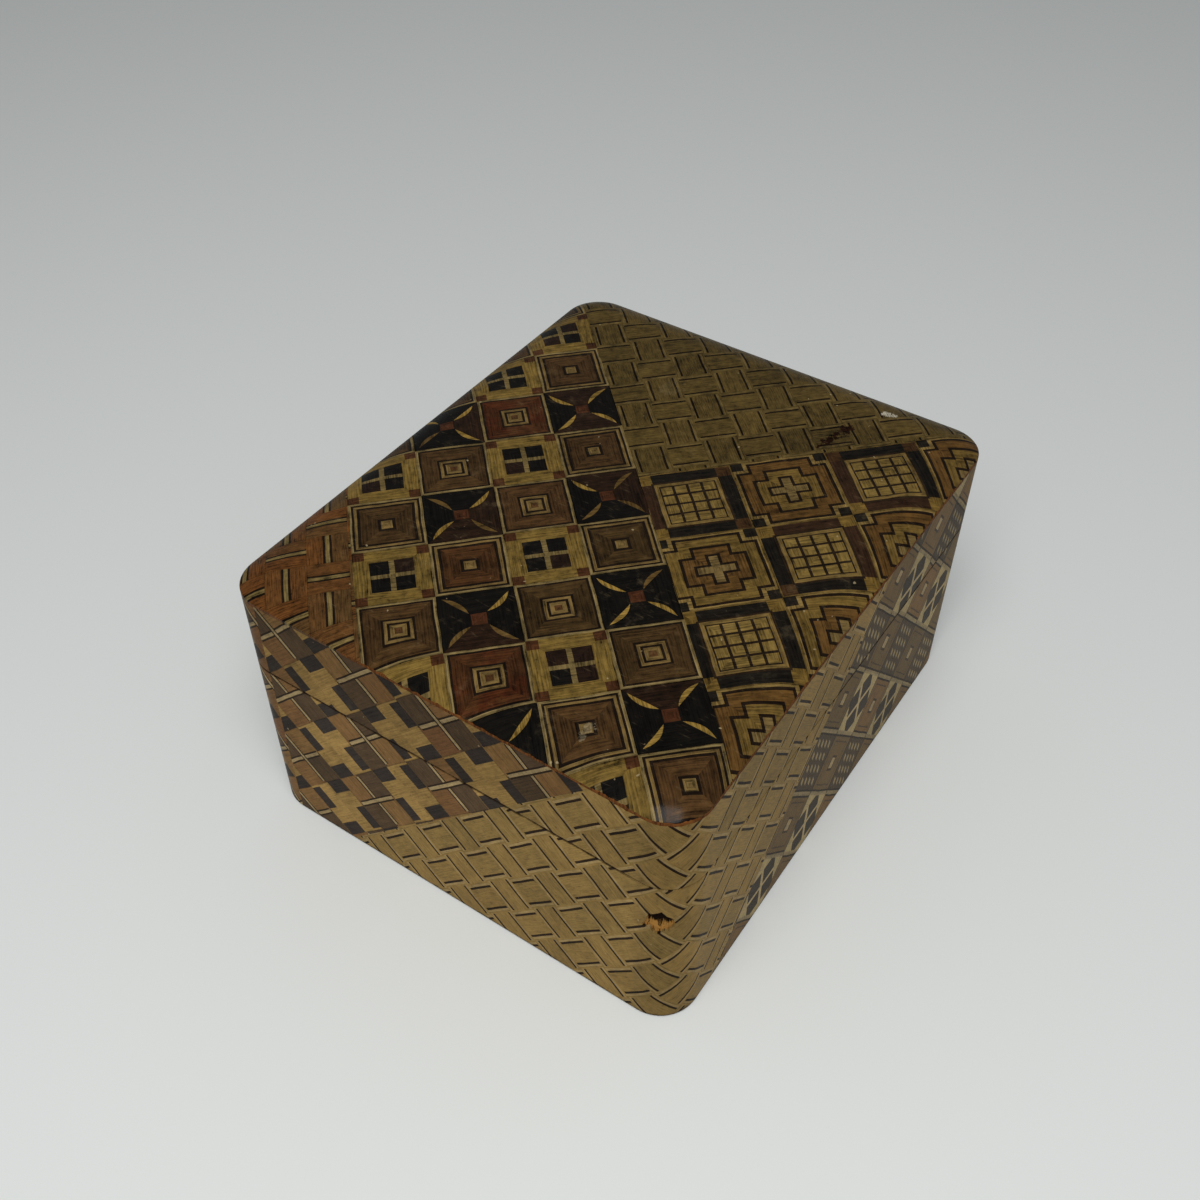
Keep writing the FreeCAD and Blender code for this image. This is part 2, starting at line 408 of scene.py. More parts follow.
def lay_fields(piece, looks):
    """Cuts a band along the slanting edges of its fields, maps it, gives each field its look."""
    mesh = piece.data
    work = bmesh.new()
    work.from_mesh(mesh)
    places = ((Vector((-half_length, -half_width + corner, 0)), Vector((0, -1, 0)), -half_bend),
              (Vector((-half_length + corner, -half_width, 0)), Vector((1, 0, 0)), half_bend),
              (Vector((half_length, -half_width + corner, 0)), Vector((0, 1, 0)),
               3 * half_bend + flat_x),
              (Vector((half_length - corner, half_width, 0)), Vector((-1, 0, 0)),
               5 * half_bend + flat_x + flat_y))
    wall_depth = 0.003
    for edge, (origin, way, first_run) in zip(field_edges, places):
        side = way.cross(Vector((0, 0, 1)))
        near = [f for f in work.faces
                if f.calc_center_median().dot(side) > origin.dot(side) - wall_depth]
        loose = set(near)
        for f in near:
            loose.update(f.edges)
            loose.update(f.verts)
        foot = origin + way * (edge - first_run)
        bmesh.ops.bisect_plane(work, geom=list(loose), plane_co=foot, dist=1e-6,
                               plane_no=(way - Vector((0, 0, 1))).normalized())
    run_map = work.loops.layers.uv.new("band_run")
    for f in work.faces:
        middle = f.calc_center_median()
        centre_run = run_at(middle)
        for loop in f.loops:
            run = run_at(loop.vert.co)
            if run - centre_run > round_trip / 2:
                run -= round_trip
            if centre_run - run > round_trip / 2:
                run += round_trip
            loop[run_map].uv = (run, loop.vert.co.z)
        slant = centre_run - middle.z
        f.material_index = sum(slant > edge for edge in field_edges)
        f.smooth = abs(f.normal.z) < 0.5
    mesh.materials.clear()
    for kind in field_order:
        mesh.materials.append(looks[kind])
    work.to_mesh(mesh)
    work.free()
    facing = []
    for face in mesh.polygons:
        for index in face.vertices:
            x, y, _ = mesh.vertices[index].co
            out_x = max(abs(x) - half_length + corner, 0) * (1 if x > 0 else -1)
            out_y = max(abs(y) - half_width + corner, 0) * (1 if y > 0 else -1)
            round_it = Vector((out_x, out_y, 0)).normalized()
            facing.append(round_it if round_it.dot(face.normal) > 0.9 else face.normal.copy())
    mesh.normals_split_custom_set(facing)


def crossed(across, upward, centre, period):
    """The slanting chequer most of the fields share: cells and places within a cell."""
    a = (across - centre[0]) / period[0]
    b = (upward - centre[1]) / period[1]
    up_right = a + b
    down_right = a - b
    cell_up = up_right.whole()
    cell_down = down_right.whole()
    odd = ((cell_up + cell_down) * 0.5).part() * 2.0
    return (up_right - cell_up, down_right - cell_down, cell_up, cell_down, odd)


def is_cell(cell_up, cell_down, up, down):
    """1 in one cell of a chequer, 0 in all others."""
    return (abs(cell_up - up) < 0.5) * (abs(cell_down - down) < 0.5)


def block_lie(up, down, odd, side):
    """How far off the middle line of its block, and how far along it, a place lies."""
    across = (abs(down) + odd * (abs(up) - abs(down))) * side
    along = (abs(up) + odd * (abs(down) - abs(up))) * side
    return across, along


def grain_in(start, up, down, cell_up, cell_down, turned):
    """Fibres along a piece, which lies along / or, where turned is 1, along the other way."""
    pick = start.chance(cell_up, cell_down, 0.5)
    lengthwise = 2.2
    finer = 44.0
    along_up = (up + cell_up) * (lengthwise + finer * turned)
    along_down = (down + cell_down) * (lengthwise + finer - finer * turned)
    fibres = start.noise(start.vector(along_up, along_down, pick * 40.0), 1.0, 3.0, 0.62)
    return fibres.step(0.28, 0.72)


def hand_cut(start, place):
    """A little unevenness, in millimetres, that hand-laid strips have against a true grid."""
    stray = 0.35
    wander = start.node("ShaderNodeTexNoise", {},
                        {"Vector": place, "Scale": 170.0, "Detail": 1.0}, 1)
    return (start.axis(wander, 0) - 0.5) * stray, (start.axis(wander, 1) - 0.5) * stray


def lacquer(look, shader, start, colour, fibres, tint, place, joint, worn, gloss, figure, level):
    """Old satin lacquer over the finished pattern, with pores, rubbed spots, bare edges and pale
    specks of painted glint.
    """
    coat_rough = 0.16
    relief = 0.00004
    broad = start.noise(place, 30.0, 3.0, 0.6)
    mottle = start.noise(place, 460.0, 3.0, 0.65)
    rubbed = start.noise(place, 230.0, 4.0, 0.7).step(0.56, 0.74) * broad.step(0.42, 0.62)
    pores = start.noise(place, 1500.0, 2.0, 0.6).step(0.55, 0.72)
    light = 0.875 + (fibres - 0.5 + (mottle - 0.5) * 1.7) * figure + tint * 0.24
    light = light + (broad - 0.5) * 0.6
    light = (light - joint * 0.25 - pores * 0.25) * level
    dressed = start.dim(colour, light)
    dressed = start.paint(dressed, tone(132, 116, 88), rubbed * 0.12)
    # Pale specks painted in as glints of the lacquer.
    painted_glints = start.noise(place, 700.0, 1.0, 0.5).step(0.77, 0.81)
    dressed = start.paint(dressed, tone(176, 158, 122), painted_glints * 0.5)
    if gloss:
        drawn = start.stretched(place, (1900.0, 240.0, 400.0))
        scratches = start.noise(drawn, 1.0, 2.0, 0.6).step(0.6, 0.7) * mottle.step(0.42, 0.62)
        dressed = start.paint(dressed, tone(150, 130, 94), scratches * 0.08)
    bare = start.paint(tone(116, 70, 31), tone(62, 35, 16), fibres)
    dressed = start.paint(dressed, bare, worn)
    roughness = 0.24 + fibres * 0.12 + mottle * 0.1 + rubbed * 0.2 + worn * 0.2
    surface(look, shader, dressed, roughness, fibres * 0.6 - joint - pores * 0.5 - worn, relief)
    shader.inputs["IOR"].default_value = dull_ior
    if gloss:
        coat = gloss * (1.0 - rubbed * 0.7) * (1.0 - (joint | worn) * 0.8)
        look.node_tree.links.new(coat.socket, shader.inputs["Coat Weight"])
        shader.inputs["Coat Roughness"].default_value = coat_rough


def band_start(name, lift, seam):
    """Starts a band's look: place round the box and height in millimetres, wear, a dark seam line of
    painted shade and dirt, and a darker foot.
    """
    rim = 60.1
    worn_from = -12.0
    tight_seam_from = -6.0
    tight_seam_to = 42.0
    look, shader, start = new_look(name)
    where = start.node("ShaderNodeUVMap", {"uv_map": "band_run"}, {})
    place = start.here()
    wide, tall = hand_cut(start, place)
    run = start.axis(where, 0) * 1000.0
    height = start.axis(where, 1) * 1000.0
    ragged = start.noise(place, 420.0, 3.0, 0.7)
    worn = (height + ragged * 0.9 > rim) * (run > worn_from)
    # A dark line along the seam: painted shade of its gap, with some dirt.
    shade_and_dirt = (0.5 - abs(height - seam) + (ragged - 0.5) * 0.7).step(0.0, 0.45)
    # The seam's painted shade is faint where the seam is tight, round the front corner and along the
    # -Y face.
    open_seam = (tight_seam_from - run).step(0.0, 6.0) | (run - tight_seam_to).step(0.0, 16.0)
    shade_and_dirt = shade_and_dirt * (0.2 + 0.8 * open_seam)
    # Darker along the foot of the band, within about a millimetre of the floor.
    shade_and_dirt = shade_and_dirt | (1.1 - height + (ragged - 0.5) * 1.4).step(0.0, 0.8)
    return look, shader, start, run + wide, height + tall + lift, place, worn, shade_and_dirt * 0.9


def basket_look(name, lift, seam, level):
    """Basket work: blocks laid in turn along the two slants, each between two dark strings."""
    look, shader, start, run, height, place, worn, shade_and_dirt = band_start(name, lift, seam)
    block_side = 7.73
    corner_dim_middle = -1.5
    corner_dim_half = 8.0
    up, down, cell_up, cell_down, odd = crossed(run, height, (-40.55, 30.6), (10.75, 11.1))
    across, along = block_lie(up, down, odd, block_side)
    fibres = grain_in(start, up, down, cell_up, cell_down, odd)
    string = across.inside(2.4, 2.94) * (along < 3.7)
    hue = start.chance(cell_up, cell_down, 9.5)
    colour = start.paint(tone(134, 108, 62), tone(124, 101, 58), hue)
    colour = start.paint(colour, tone(146, 123, 82), across.inside(2.9, 3.5) * 0.8)
    colour = start.paint(colour, tone(46, 34, 23), string)
    # Darker in a band round the front corner, by up to a fifth.
    corner_dim = (corner_dim_half - abs(run - corner_dim_middle)).step(0.0, 5.0)
    colour = start.dim(colour, 1.0 - corner_dim * 0.22)
    # Painted shade and dirt along the seam, and the darker foot.
    colour = start.paint(colour, shade_and_dirt_tone, shade_and_dirt)
    tint = start.chance(cell_up, cell_down, 2.5) * 0.7
    lacquer(look, shader, start, colour, fibres, tint, place, string, worn,
            side_gloss, side_figure, level)
    return look


def weave_look(name, lift, seam, level):
    """Weave: cells of two crossing pale strips, then plain cells with four dark blocks round them."""
    look, shader, start, run, height, place, worn, shade_and_dirt = band_start(name, lift, seam)
    up, down, cell_up, cell_down, odd = crossed(run, height, (-67.2, 38.2), (19.2, 18.7))
    cell_side = 13.4
    strip_half = 0.36
    string_half = 0.75
    strip_end = 6.2
    far_up = abs(up) * cell_side
    far_down = abs(down) * cell_side
    same = (up * down) > 0.0
    half_up = cell_up * 2.0 + (up > 0.0)
    half_down = cell_down * 2.0 + (down > 0.0)
    quarters = start.chance(half_up, half_down, 4.5)
    fibres = grain_in(start, up, down, half_up, half_down, same * (1.0 - odd))
    column = ((cell_up + cell_down) * 0.5).whole()
    flip = (column * 0.5).part() * 2.0
    turned = abs(same - flip)
    reddish = start.paint(tone(122, 92, 54), tone(98, 68, 42), quarters)
    squares = start.paint(tone(74, 58, 41), reddish, turned)
    swap = start.chance(cell_up, cell_down, 7.5) > 0.5
    off_over = far_down + swap * (far_up - far_down)
    off_under = far_up + swap * (far_down - far_up)
    string = tone(42, 32, 22)
    pale = tone(142, 122, 86)
    crossing = squares
    for off, run_out in ((off_under, off_over), (off_over, off_under)):
        crossing = start.paint(crossing, string, (off < string_half) * (run_out < strip_end))
        crossing = start.paint(crossing, pale, (off < strip_half) * (run_out < strip_end))
    blocks = far_up.inside(3.6, 6.7) * far_down.inside(0.5, 6.2) * turned
    blocks = blocks | far_down.inside(3.6, 6.7) * far_up.inside(0.7, 6.6) * (1.0 - turned)
    plain = start.paint(tone(138, 110, 63), tone(50, 43, 38), blocks)
    colour = start.paint(crossing, plain, odd)
    # Painted shade and dirt along the seam, and the darker foot.
    colour = start.paint(colour, shade_and_dirt_tone, shade_and_dirt)
    joint = (far_up | far_down) > 6.55
    lacquer(look, shader, start, colour, fibres, quarters, place, joint, worn,
            side_gloss, side_figure, level)
    return look


def lattice_look(name, lift, seam, level):
    """Lattice: upright four-light windows and dotted cells, with nested squares between them."""
    look, shader, start, run, height, place, worn, shade_and_dirt = band_start(name, lift, seam)
    up, down, cell_up, cell_down, odd = crossed(run, height, (66.9, 27.6), (18.4, 19.4))
    far = abs(up) | abs(down)
    half_across = 9.2
    half_up = 9.7
    window_half = 5.3
    bar_half = 0.5
    sideways = abs((up + down) * half_across)
    upright = abs((up - down) * half_up)
    wide = sideways | upright
    narrow = sideways & upright
    panes = (wide < window_half) * (narrow > bar_half)
    window = start.paint(tone(142, 124, 86), tone(148, 129, 93), wide < window_half)
    window = start.paint(window, tone(52, 44, 35), panes)
    dots_in_row = 5.0
    dot_up = (up * dots_in_row).part() - 0.5
    dot_down = (down * dots_in_row).part() - 0.5
    dots = (abs(dot_up + dot_down) * 2.2 + abs(dot_up - dot_down) < 0.72) * (far < 0.4)
    dotted = start.paint(tone(66, 55, 41), tone(128, 110, 78), dots)
    dotted_cell = (cell_up * 0.5).part() * 2.0
    is_dotted = dotted_cell * (1.0 - is_cell(cell_up, cell_down, -3, -1))
    even_cell = start.paint(window, dotted, is_dotted)
    lined = odd | is_dotted
    hue = start.chance(cell_up, cell_down, 9.5)
    nested = start.paint(tone(106, 80, 47), tone(86, 71, 46), hue)
    nested = start.paint(nested, tone(70, 56, 40), far.inside(0.345, 0.37))
    nested = start.paint(nested, tone(58, 46, 34), far < 0.13)
    nested = start.paint(nested, tone(140, 120, 86), far < 0.09)
    colour = start.paint(even_cell, nested, odd)
    colour = start.paint(colour, tone(44, 35, 26), (abs(up) > 0.435) * lined)
    colour = start.paint(colour, tone(138, 120, 86), abs(up) > 0.468)
    colour = start.paint(colour, tone(66, 53, 38), (abs(down) > 0.475) * lined)
    # Painted shade and dirt along the seam, and the darker foot.
    colour = start.paint(colour, shade_and_dirt_tone, shade_and_dirt)
    fibres = grain_in(start, up, down, cell_up, cell_down, abs(up) < abs(down))
    tint = start.chance(cell_up, cell_down, 6.5)
    lacquer(look, shader, start, colour, fibres, tint, place, far > 0.47, worn,
            side_gloss, side_figure, level)
    return look


base_bottom = 0.0004
seam_at = 0.042
seam_gap = 0.0003
base_top = seam_at - seam_gap / 2
seam_height = seam_at * 1000
base_looks = [weave_look("base_weave", lift=0.0, seam=seam_height, level=1.19),
              basket_look("base_basket", lift=0.0, seam=seam_height, level=1.13),
              lattice_look("base_lattice", lift=0.0, seam=seam_height, level=1.28)]
base_skin = swept_band("base_skin", base_bottom, base_top, base_looks[1])
# The chip's edge: run round the box and height, in millimetres.
chip_outline = ((-6.1, 29.9), (-5.2, 29.6), (-4.4, 30.2), (-3.8, 28.7), (-2.6, 28.6), (-1.8, 29.8),
                (-1.1, 29.6), (0.1, 31.6), (-0.4, 33.2), (-1.6, 34.2), (-2.5, 35.4), (-3.6, 34.6),
                (-4.8, 33.9), (-5.2, 32.0))


def corner_point(reach, run, height):
    """A point at the front corner: reach from its axis, then run and height in millimetres."""
    corner_middle = math.radians(225)
    angle = corner_middle + run / 1000 / corner
    return (corner - half_length + reach * math.cos(angle),
            corner - half_width + reach * math.sin(angle), height / 1000)


def chip_out(piece, outline):
    """Breaks a splinter of veneer out of a band at the front corner."""
    past_skin = corner + 0.001
    into_board = corner - 0.0015
    work = bmesh.new()
    rings = []
    for reach in (past_skin, into_board):
        rings.append([work.verts.new(corner_point(reach, run, height)) for run, height in outline])
    count = len(outline)
    for k in range(count):
        work.faces.new((rings[0][k], rings[0][(k + 1) % count],
                        rings[1][(k + 1) % count], rings[1][k]))
    work.faces.new(rings[0])
    work.faces.new(list(reversed(rings[1])))
    bmesh.ops.recalc_face_normals(work, faces=work.faces)
    mesh = bpy.data.meshes.new("chip")
    work.to_mesh(mesh)
    work.free()
    cutter = bpy.data.objects.new("chip", mesh)
    bpy.context.scene.collection.objects.link(cutter)
    cut = piece.modifiers.new("chip", "BOOLEAN")
    cut.operation = "DIFFERENCE"
    cut.object = cutter
    ready = piece.evaluated_get(bpy.context.evaluated_depsgraph_get())
    piece.data = bpy.data.meshes.new_from_object(ready)
    piece.modifiers.remove(cut)
    bpy.data.objects.remove(cutter)


chip_out(base_skin, chip_outline)


def torn_wood(name, outline):
    """The ragged board that shows where the splinter came away: pale fibres, with painted shadow at
    the top under the chip's edge and between the fibres.
    """
    least_proud = 0.00006
    ragged_by = 0.0001
    torn_thickness = 0.00005
    shadow_above = 31.9
    torn_depth = 0.0001
    work = bmesh.new()
    work.faces.new([work.verts.new((run, height, 0)) for run, height in outline])
    bmesh.ops.triangulate(work, faces=work.faces)
    bmesh.ops.subdivide_edges(work, edges=work.edges, cuts=5, use_grid_fill=True)
    for vert in work.verts:
        run, height, _ = vert.co
        ragged = abs(math.sin(run * 5.1) * math.sin(height * 1.3 + run))
        proud = least_proud + ragged_by * ragged
        vert.co = corner_point(corner - skin + proud, run, height)
    bmesh.ops.recalc_face_normals(work, faces=work.faces)
    mesh = bpy.data.meshes.new(name)
    work.to_mesh(mesh)
    work.free()
    made = bpy.data.objects.new(name, mesh)
    bpy.context.scene.collection.objects.link(made)
    thick = made.modifiers.new("thick", "SOLIDIFY")
    thick.thickness = torn_thickness
    ready = made.evaluated_get(bpy.context.evaluated_depsgraph_get())
    made.data = bpy.data.meshes.new_from_object(ready)
    made.modifiers.remove(thick)
    look, shader, start = new_look("torn_wood")
    place = start.here()
    height = start.axis(place, 2) * 1000.0
    fibres = start.noise(start.stretched(place, (2600.0, 2600.0, 420.0)), 1.0, 3.0, 0.65)
    # Painted shadow: dark above a height under the chip's upper edge, and in streaks between the
    # fibres.
    dark = ((height - shadow_above) * 0.7 + (fibres - 0.5) * 4.0).step(-0.4, 0.5)
    dark = dark | fibres.step(0.54, 0.62) * 0.85
    # The near-black tone is the painted shadow.
    colour = start.paint(tone(156, 112, 56), tone(20, 11, 5), dark)
    surface(look, shader, colour, 0.6 + fibres * 0.2, fibres, torn_depth)
    shader.inputs["IOR"].default_value = dull_ior
    made.data.materials.clear()
    made.data.materials.append(look)
    return made


chip_floor = torn_wood("chip_floor", chip_outline)
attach(chip_floor, "base")
lay_fields(base_skin, base_looks)
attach(base_skin, "base")
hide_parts("base_veneer")

# The lid's side skin: the same sheet as the base's, cut through along the seam after it was
# glued on, so the pattern carries on above it less the width of the saw.
crown_rise = 0.0024
lid_bottom = seam_at + seam_gap / 2
lid_edge = box_height - crown_rise
saw_cut = 1.3
lid_looks = [weave_look("lid_weave", lift=saw_cut, seam=seam_height, level=0.92),
             basket_look("lid_basket", lift=saw_cut, seam=seam_height, level=1.03),
             lattice_look("lid_lattice", lift=saw_cut, seam=seam_height, level=1.26)]
lid_skin = swept_band("lid_side_skin", lid_bottom, lid_edge - skin, lid_looks[1])
lay_fields(lid_skin, lid_looks)
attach(lid_skin, "lid")
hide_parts("lid_side_veneer")

# The lid's top skin: four sheets of patterned block laid edge to edge over the crowned board,
# darker than the sides with age, its rim rolled down to the side skin and rubbed through.
arc_radius = (corner ** 2 + crown_rise ** 2) / (2 * crown_rise)
chequer_centre = (-0.95, 4.3)
chequer_period = (20.35, 20.0)
rust_row = -3.5
basket_row = 0.5
big_row = 0.32
top_gloss = 0.14
top_figure = 1.0
top_level = 1.0


def crown_at(inset):
    """Height of the crowned top above its edge, at a distance in from the edge."""
    lean = corner - min(inset, corner)
    return crown_rise - (arc_radius - math.sqrt(arc_radius ** 2 - lean ** 2))


def crown_skin(name):
    """The top sheet as a closed shell, ring by ring from the rim to the flat."""
    work = bmesh.new()

    def ring(inset, height):
        made = []
        radius = corner - inset
        for sign_x, sign_y, first in ((1, 1, 0), (-1, 1, 90), (-1, -1, 180), (1, -1, 270)):
            for k in range(corner_steps + 1):
                angle = math.radians(first + k * 90 / corner_steps)
                made.append(work.verts.new((
                    sign_x * (half_length - corner) + radius * math.cos(angle),
                    sign_y * (half_width - corner) + radius * math.sin(angle), height)))
        return made

    def wall(low, high):
        for k in range(len(low)):
            after = (k + 1) % len(low)
            work.faces.new((low[k], low[after], high[after], high[k]))

    insets = (0.0001, 0.0004, 0.001, 0.002, 0.0032, 0.0046, 0.0062, 0.0078)
    rim_round = 0.00006
    outside = [ring(0.0, lid_edge - skin), ring(0.0, lid_edge - rim_round)]
    outside += [ring(inset, lid_edge + crown_at(inset)) for inset in insets]
    under = [ring(inset, lid_edge + crown_at(inset) - skin) for inset in insets[::-1]]
    for low, high in zip(outside, outside[1:]):
        wall(low, high)
    work.faces.new(outside[-1])
    for low, high in zip(under, under[1:]):
        wall(low, high)
    work.faces.new(list(reversed(under[0])))
    wall(under[-1], outside[0])
    bmesh.ops.recalc_face_normals(work, faces=work.faces)
    mesh = bpy.data.meshes.new(name)
    work.to_mesh(mesh)
    work.free()
    made = bpy.data.objects.new(name, mesh)
    bpy.context.scene.collection.objects.link(made)
    return made


def sheet_place(point):
    """Which slanting rows of the top's chequer a point lies in."""
    a = (point[0] * 1000 - chequer_centre[0]) / chequer_period[0]
    b = (point[1] * 1000 - chequer_centre[1]) / chequer_period[1]
    return a + b, a - b


def cut_sheets(piece, looks):
    """Cuts the top along the joints between its four sheets and gives each its look."""
    work = bmesh.new()
    work.from_mesh(piece.data)
    per_x = 1000 / chequer_period[0]
    per_y = 1000 / chequer_period[1]
    rust_edge = (Vector((per_x, -per_y, 0)), rust_row)
    basket_edge = (Vector((per_x, -per_y, 0)), basket_row)
    big_edge = (Vector((per_x, per_y, 0)), big_row)
    for way, row in (rust_edge, basket_edge, big_edge):
        middle = Vector((chequer_centre[0] / 1000, chequer_centre[1] / 1000, 0))
        foot = middle + way * (row / way.length_squared)
        faces = work.faces[:]
        if row == big_row:
            faces = [f for f in faces if sheet_place(f.calc_center_median())[1] > basket_row]
        geometry = set(faces)
        for f in faces:
            geometry.update(f.edges)
            geometry.update(f.verts)
        bmesh.ops.bisect_plane(work, geom=list(geometry), plane_co=foot, plane_no=way.normalized(),
                               dist=1e-7)
    for f in work.faces:
        up, down = sheet_place(f.calc_center_median())
        if down < rust_row:
            f.material_index = 0
        elif down < basket_row:
            f.material_index = 1
        else:
            f.material_index = 2 if up > big_row else 3
        f.smooth = abs(f.normal.z) > 0.3
    work.to_mesh(piece.data)
    work.free()
    for look in looks:
        piece.data.materials.append(look)


def top_start(name):
    """Starts a top sheet's look: place on the top in millimetres, and where its rim is worn."""
    look, shader, start = new_look(name)
    rim = 60.82
    place = start.here()
    wide, tall = hand_cut(start, place)
    along = start.axis(place, 0) * 1000.0
    back = start.axis(place, 1) * 1000.0
    height = start.axis(place, 2) * 1000.0
    ragged = start.noise(place, 420.0, 3.0, 0.7)
    worn = (height + ragged * 0.8 < rim) * (back + along * 0.35 < 0.0)
    return look, shader, start, along + wide, back + tall, place, worn


def scuff(start, along, back, place, spot, size):
    """A rubbed place on the top, ragged at its edge."""
    off_x = (along - spot[0]) / size[0]
    off_y = (back - spot[1]) / size[1]
    ragged = start.noise(place, 520.0, 4.0, 0.75)
    return (1.25 - off_x * off_x - off_y * off_y - (0.62 - ragged) * 5.5).step(0.0, 0.5)


def leaf(reach, bulge):
    """A bowed leaf on one side of a spine: reach along the spine, bulge off it."""
    leaf_middle = 5.5
    leaf_half = 3.2
    bow = (reach - leaf_middle) / leaf_half
    return bulge.inside(0.0, 1.0 - bow * bow)


def star_look(name):
    """The main sheet: black stars with gold petals, some faded, windows and nested squares.
    Limits are millimetres from the middle of a cell."""
    cell_side = 14.3
    half_across = 10.17
    half_up = 10.0
    window_half = 4.1
    bar_half = 0.5
    look, shader, start, along, back, place, worn = top_start(name)
    up, down, cell_up, cell_down, odd = crossed(along, back, chequer_centre, chequer_period)
    far = (abs(up) | abs(down)) * cell_side
    near = (abs(up) & abs(down)) * cell_side
    level = (up + down) * half_across
    rise = (up - down) * half_up
    quarter_of = (level > 0.0) + (rise > 0.0) * 2.0
    dark_quarter = start.chance(cell_up, cell_down, quarter_of + 0.25) > 0.8
    star = start.paint(tone(14, 11, 8), tone(34, 21, 12), dark_quarter)
    turn = 1.0 - 2.0 * (cell_down < -1.0)
    petal = leaf(abs(level), rise * turn * (2.0 * (level > 0.0) - 1.0))
    petal = petal | leaf(abs(rise), level * turn * (1.0 - 2.0 * (rise > 0.0)))
    faded = start.chance(cell_up, cell_down, quarter_of + 6.25) > 0.72
    petal_wood = start.paint(tone(124, 98, 44), tone(82, 62, 30), faded)
    star = start.paint(star, petal_wood, petal)
    star = start.paint(star, tone(60, 33, 17), far < 1.4)
    window = start.paint(tone(103, 82, 38), tone(62, 36, 18), near > 4.9)
    panes = (far < window_half) * (near > bar_half)
    window = start.paint(window, tone(98, 82, 48), far < window_half)
    brown_pane = start.chance(cell_up, cell_down, (up > 0.0) + (down > 0.0) * 2.0 + 5.25) > 0.7
    glass = start.paint(tone(16, 13, 10), tone(31, 19, 12), brown_pane)
    window = start.paint(window, glass, panes)
    even_cell = start.paint(star, window, (cell_up * 0.5).part() * 2.0)
    even_cell = start.paint(even_cell, window, is_cell(cell_up, cell_down, 4, 0))
    kind = cell_down < -0.5
    for at in ((-3, 0), (-4, -1), (-1, -2), (0, -3)):
        kind = abs(kind - is_cell(cell_up, cell_down, at[0], at[1]))
    hue = start.chance(cell_up, cell_down, 8.5)
    field = start.paint(tone(68, 46, 24), tone(54, 40, 19), hue)
    reds = is_cell(cell_up, cell_down, 2, -1) | is_cell(cell_up, cell_down, -3, -2)
    streak = start.noise(place, 150.0, 2.0, 0.6).step(0.4, 0.6)
    field = start.paint(field, tone(64, 31, 13), reds * (0.55 + streak * 0.45))
    field = start.paint(field, tone(66, 37, 17), is_cell(cell_up, cell_down, -1, -2) * 0.6)
    mitre = abs(up) > abs(down)
    field = start.dim(field, 0.86 + mitre * 0.22)
    string = tone(24, 15, 8)
    pale = tone(100, 80, 44)
    double = start.paint(field, pale, far.inside(5.6, 6.2))
    double = start.paint(double, string, far.inside(5.05, 5.6))
    double = start.paint(double, string, far < 1.7)
    double = start.paint(double, pale, far < 1.1)
    single = field
    for wood, edge in ((string, 3.05), (pale, 2.6), (string, 2.0), (pale, 1.5),
                       (tone(70, 46, 24), 0.7)):
        single = start.paint(single, wood, far < edge)
    nested = start.paint(double, single, kind)
    nested = start.paint(nested, string, far > 6.15)
    nested = start.paint(nested, tone(112, 95, 59), far > 6.6)
    colour = start.paint(even_cell, nested, odd)
    rubbed = scuff(start, along, back, place, (-52, -26), (2.2, 1.3))
    colour = start.paint(colour, tone(150, 138, 112), rubbed * 0.3)
    fibres = grain_in(start, up, down, cell_up, cell_down, mitre)
    tint = start.chance(cell_up, cell_down, quarter_of + 3.25)
    lacquer(look, shader, start, colour, fibres, tint, place, far > 6.95, worn,
            top_gloss, top_figure, top_level)
    return look


def top_basket_look(name):
    """Basket sheet: the same blocks as on the sides, browner, with two rubbed places and a gouge."""
    block_side = 7.53
    look, shader, start, along, back, place, worn = top_start(name)
    up, down, cell_up, cell_down, odd = crossed(along, back, (34.9, 24.4), (10.75, 10.55))
    across, run = block_lie(up, down, odd, block_side)
    fibres = grain_in(start, up, down, cell_up, cell_down, odd)
    string = across.inside(2.4, 2.85) * (run < 3.65)
    hue = start.chance(cell_up, cell_down, 9.5)
    colour = start.paint(tone(80, 64, 30), tone(70, 56, 26), hue)
    colour = start.paint(colour, tone(92, 76, 42), across.inside(2.8, 3.4) * 0.7)
    colour = start.paint(colour, tone(30, 21, 13), string)
    rubbed = scuff(start, along, back, place, (36, 13), (4.5, 3))
    colour = start.paint(colour, tone(148, 132, 96), rubbed * 0.07)
    scraped = scuff(start, along, back, place, (54, -30), (1.4, 2.2))
    colour = start.paint(colour, tone(196, 188, 168), scraped * 0.7)
    gouge = scuff(start, along, back + (along - 41.0) * 0.25, place, (41.0, -24.0), (6.5, 1.7))
    colour = start.paint(colour, tone(40, 20, 11), gouge)
    tint = start.chance(cell_up, cell_down, 2.5)
    lacquer(look, shader, start, colour, fibres, tint, place, string | gouge, worn,
            top_gloss, top_figure, top_level)
    return look


def rust_look(name):
    """Rust-coloured sheet with single pale strips laid in turn along the two slants."""
    block_side = 7.75
    strip_half = 0.4
    string_half = 0.85
    look, shader, start, along, back, place, worn = top_start(name)
    up, down, cell_up, cell_down, odd = crossed(along, back, (-54.2, 39.0), (11.2, 10.7))
    across, run = block_lie(up, down, odd, block_side)
    signed = down + odd * (up - down)
    fibres = grain_in(start, up, down, cell_up, cell_down, odd)
    half = start.chance(cell_up, cell_down, (signed > 0.0) + 1.5)
    colour = start.paint(tone(100, 58, 23), tone(70, 52, 28), half)
    colour = start.paint(colour, tone(28, 18, 10), across < string_half)
    colour = start.paint(colour, tone(106, 89, 51), across < strip_half)
    lacquer(look, shader, start, colour, fibres, half, place, run > 3.8, worn,
            top_gloss, top_figure, top_level)
    return look


